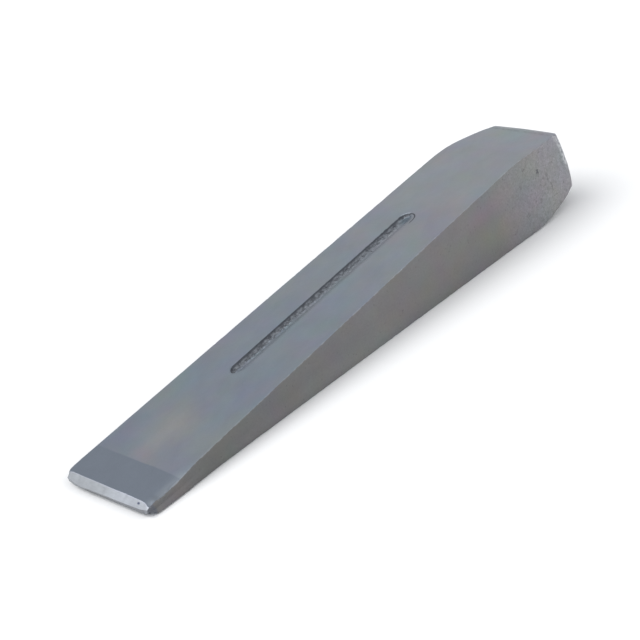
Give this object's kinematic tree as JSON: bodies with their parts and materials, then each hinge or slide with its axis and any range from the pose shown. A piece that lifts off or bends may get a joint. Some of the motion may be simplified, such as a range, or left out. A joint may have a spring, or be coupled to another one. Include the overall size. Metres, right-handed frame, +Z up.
{
  "type": "splitting wedge",
  "caption": "Forged steel splitting wedge with a long double taper, a blunt ground edge, a shallow groove in each wide face and a chamfered head to strike.",
  "frame": {"origin": "centre of the box's base, on the wide face that the wedge lies on", "axes": "+X from the cutting edge to the head, +Y across the width, +Z up, square to the wide face that it lies on"},
  "size_m": [0.2598, 0.0564, 0.0345],
  "materials": {
    "forged_steel": "forged and heat-tinted blue-grey wide faces, rough dark grey sides, bright ground cutting edge"
  },
  "bodies": {
    "root": {"wedge_body": "forged_steel"}
  },
  "joints": []
}
